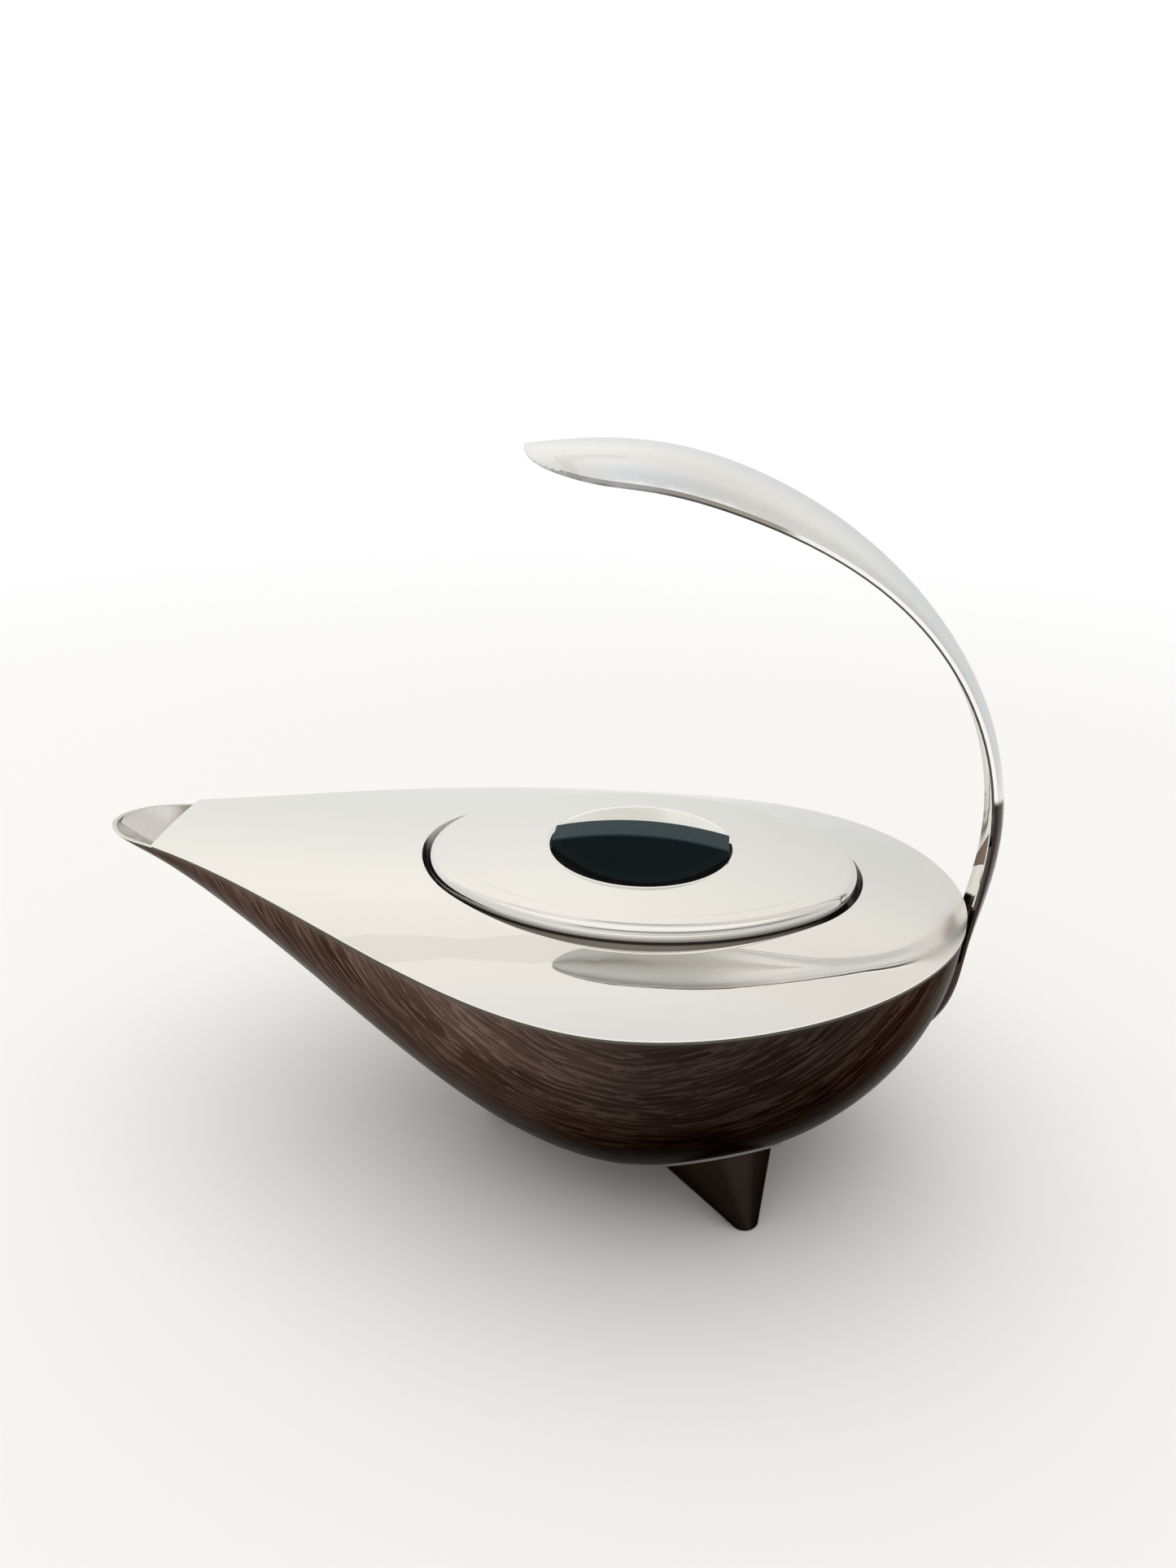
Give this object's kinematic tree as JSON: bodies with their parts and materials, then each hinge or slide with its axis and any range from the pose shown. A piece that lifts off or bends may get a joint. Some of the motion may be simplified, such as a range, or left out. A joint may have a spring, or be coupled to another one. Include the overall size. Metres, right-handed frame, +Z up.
{
  "type": "teapot",
  "caption": "Low boat-shaped silver teapot with an open pouring lip, a bent deck, an oval lift-off lid with a black finger fin, a free leaf handle and thorn feet.",
  "frame": {"origin": "on the table, under the middle of the whole length from the pouring lip to the back of the handle", "axes": "+X from the spout to the handle, +Y to the far side with the spout on the left, +Z up"},
  "size_m": [0.2424, 0.1404, 0.1974],
  "materials": {
    "polished_silver": "mirror polished silver",
    "dark_bowl": null,
    "black_knob": "matte black",
    "screw_steel": "turned steel"
  },
  "bodies": {
    "pot": {"hull_shell": "dark_bowl", "deck_plate": "polished_silver", "lid_collar": "polished_silver", "lid_ledge": "polished_silver", "spout_strainer": "polished_silver", "handle_leaf": "polished_silver", "foot_front": "dark_bowl", "foot_front_plate": "polished_silver", "foot_left": "dark_bowl", "foot_left_plate": "polished_silver", "foot_right": "dark_bowl", "foot_right_plate": "polished_silver"},
    "lid": {"lid_plate": "polished_silver", "lid_bead": "polished_silver", "lid_skirt": "polished_silver", "finger_dish": "polished_silver", "knob_fin": "black_knob", "knob_washers": "screw_steel", "knob_screws": "screw_steel"}
  },
  "joints": [
    {"name": "lid_lift", "type": "slide", "parent": "pot", "child": "lid", "axis": [0, 0, 1], "range_m": [0, 0.06]}
  ]
}
